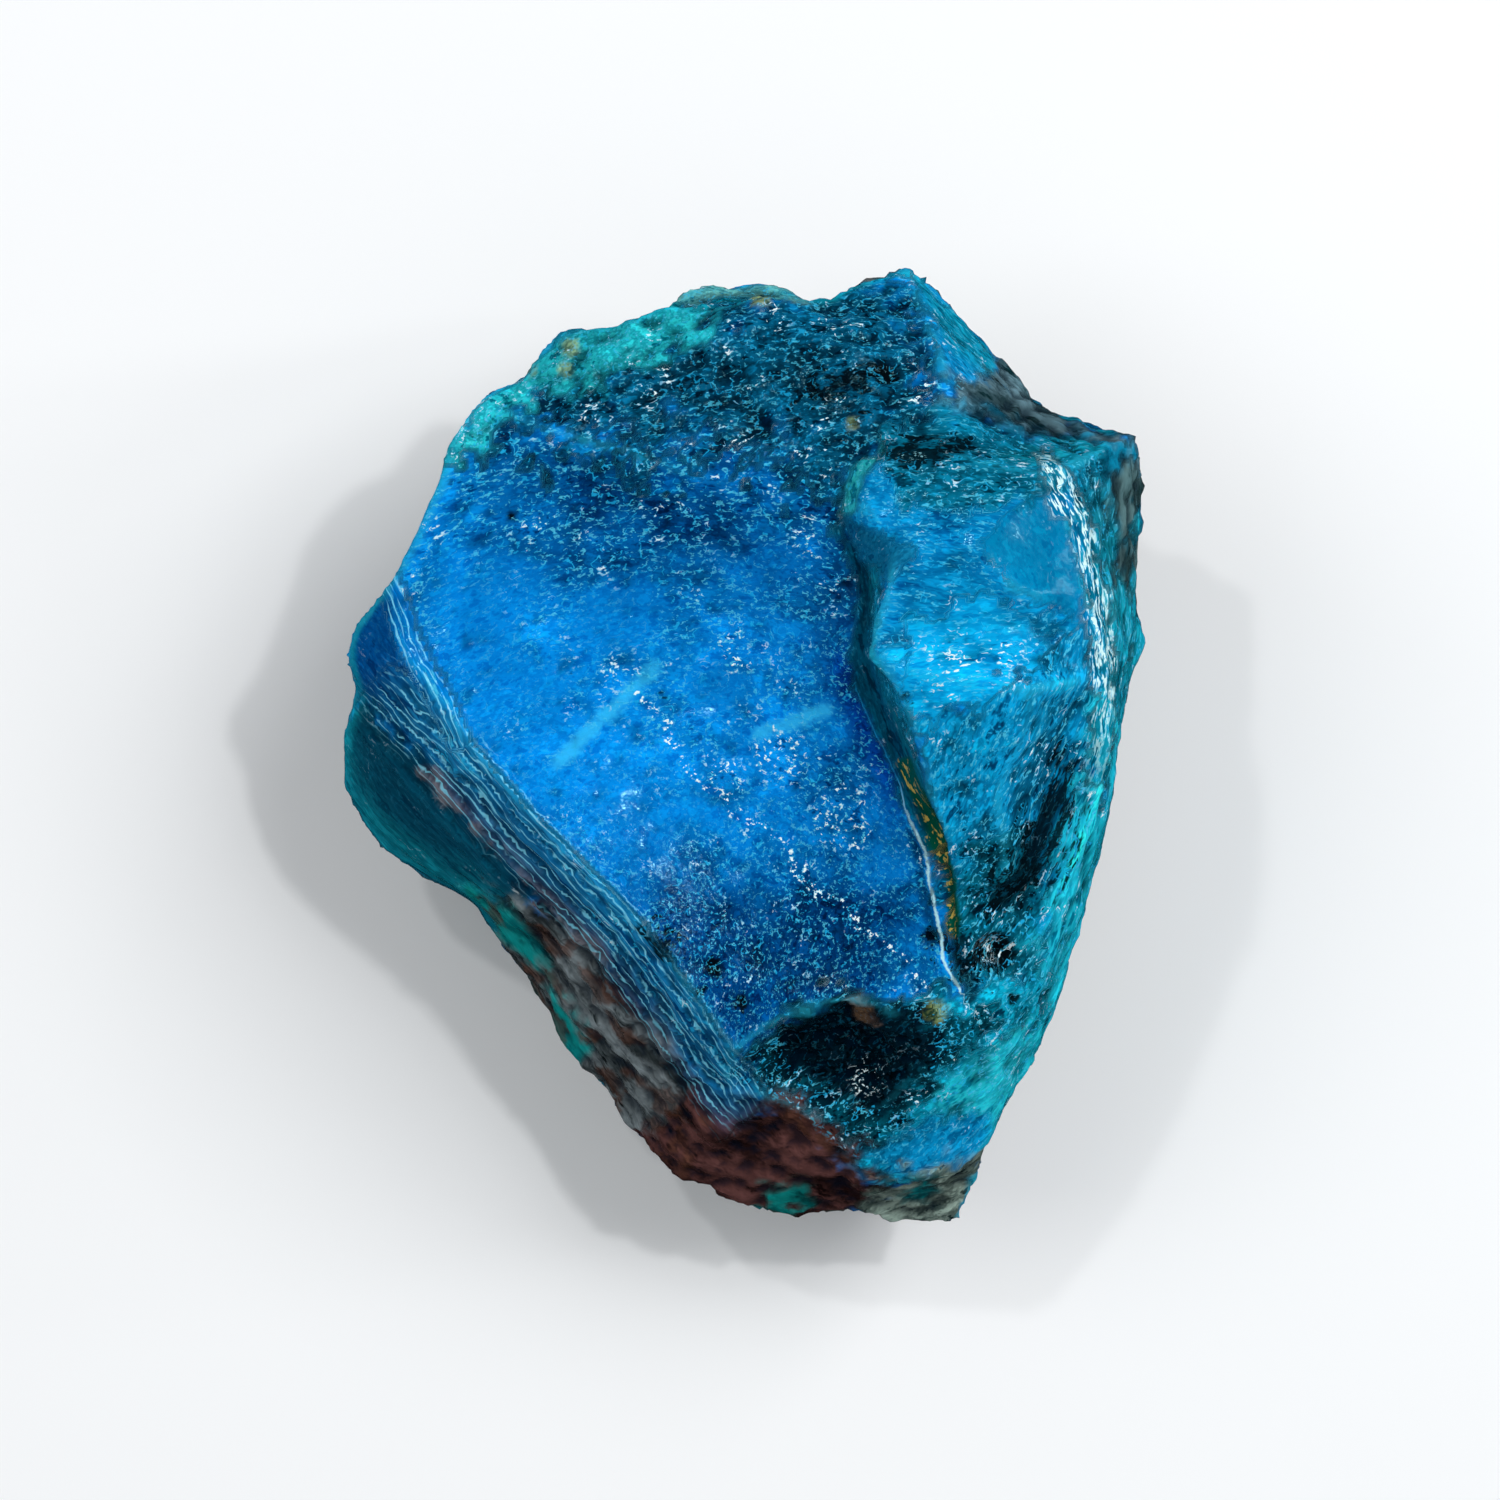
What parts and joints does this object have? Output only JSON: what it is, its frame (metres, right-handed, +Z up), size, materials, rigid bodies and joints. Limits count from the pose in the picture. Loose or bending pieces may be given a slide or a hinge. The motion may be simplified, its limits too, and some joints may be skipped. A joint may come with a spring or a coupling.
{
  "type": "quartz specimen",
  "caption": "Palm-sized rough stone of blue chrysocolla chalcedony with a broad broken face, a raised block behind a ledge, a dark hollow and a brown matrix.",
  "frame": {"origin": "under the middle of the stone's bounding box, on the surface that it rests on", "axes": "+Y along the stone towards its broad end, +X across it, +Z up through the broken blue face"},
  "size_m": [0.037, 0.044, 0.0226],
  "materials": {
    "stone": "wet-looking broken chalcedony, azure blue with turquoise, near-black and brown parts, opaque with glowing thin edges"
  },
  "bodies": {
    "root": {"stone": "stone"}
  },
  "joints": []
}
